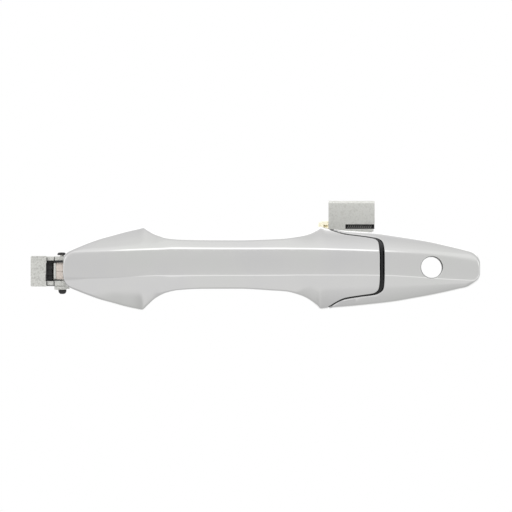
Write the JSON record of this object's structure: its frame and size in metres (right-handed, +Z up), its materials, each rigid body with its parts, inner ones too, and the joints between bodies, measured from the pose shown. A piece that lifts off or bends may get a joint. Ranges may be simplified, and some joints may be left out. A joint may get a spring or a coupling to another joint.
{
  "type": "car door handle",
  "caption": "Pull-type exterior car door handle: bright hinged grip with a tongue, end cap with a key hole, base, pull arm and sprung release lever.",
  "frame": {"origin": "on the axis of the key hole, in the plane of the door's outer skin, which the gaskets rest on", "axes": "+X along the handle from the hinge towards the end cap, +Y into the door along the key hole, +Z up"},
  "size_m": [0.2501, 0.0876, 0.0608],
  "materials": {
    "bright_plate": "bright plated, smooth",
    "die_cast": "as cast, finely mottled",
    "base_plastic": "fine grain glass-filled",
    "core_plastic": "moulded, plain",
    "cream_nylon": "natural nylon, waxy",
    "black_rubber": "smooth moulded",
    "plated_steel": "zinc plated",
    "spring_steel": "oiled drawn wire"
  },
  "bodies": {
    "base": {"handle_base": "base_plastic", "arm_window_frame": "base_plastic", "lock_carrier": "base_plastic", "lever_bracket_screws": "plated_steel", "lever_bracket": "plated_steel", "base_bushes": "plated_steel", "hinge_bracket": "die_cast", "bracket_screws": "plated_steel", "hinge_pin": "plated_steel", "pin_cap_upper": "black_rubber", "pin_cap_lower": "black_rubber", "hinge_buffer": "black_rubber", "front_gasket": "black_rubber", "rear_gasket": "black_rubber", "cap_shell": "bright_plate", "cap_bumper": "black_rubber", "cap_screw": "plated_steel", "lock_collar": "core_plastic", "lever_pin": "plated_steel", "lever_pin_clip": "spring_steel", "return_spring": "spring_steel"},
    "grip": {"grip_shell": "bright_plate", "grip_core": "core_plastic", "grip_back_cover": "bright_plate", "cover_screws": "plated_steel", "front_hinge_arm": "die_cast", "front_arm_screws": "plated_steel", "hinge_bush_upper": "cream_nylon", "hinge_bush_lower": "cream_nylon", "rear_pull_arm": "die_cast", "rear_arm_screws": "plated_steel", "arm_slot_pad": "black_rubber", "arm_guide_clip": "cream_nylon"},
    "lever": {"release_lever": "die_cast", "lever_bush": "cream_nylon", "rod_clip": "cream_nylon"}
  },
  "joints": [
    {"name": "grip_swing", "type": "hinge", "parent": "base", "child": "grip", "pos_m": [-0.2057, 0.009, 0], "axis": [0, 0, -1], "range_deg": [0, 7.5]},
    {"name": "lever_turn", "type": "hinge", "parent": "base", "child": "lever", "pos_m": [-0.047, 0.032, -0.012], "axis": [1, 0, 0], "range_deg": [0, 50.8], "stiffness_Nm_per_rad": 0.15, "springref_deg": -85.94}
  ],
  "couplings": [
    {"joint": "lever_turn", "follows": "grip_swing", "ratio": 6.76}
  ]
}
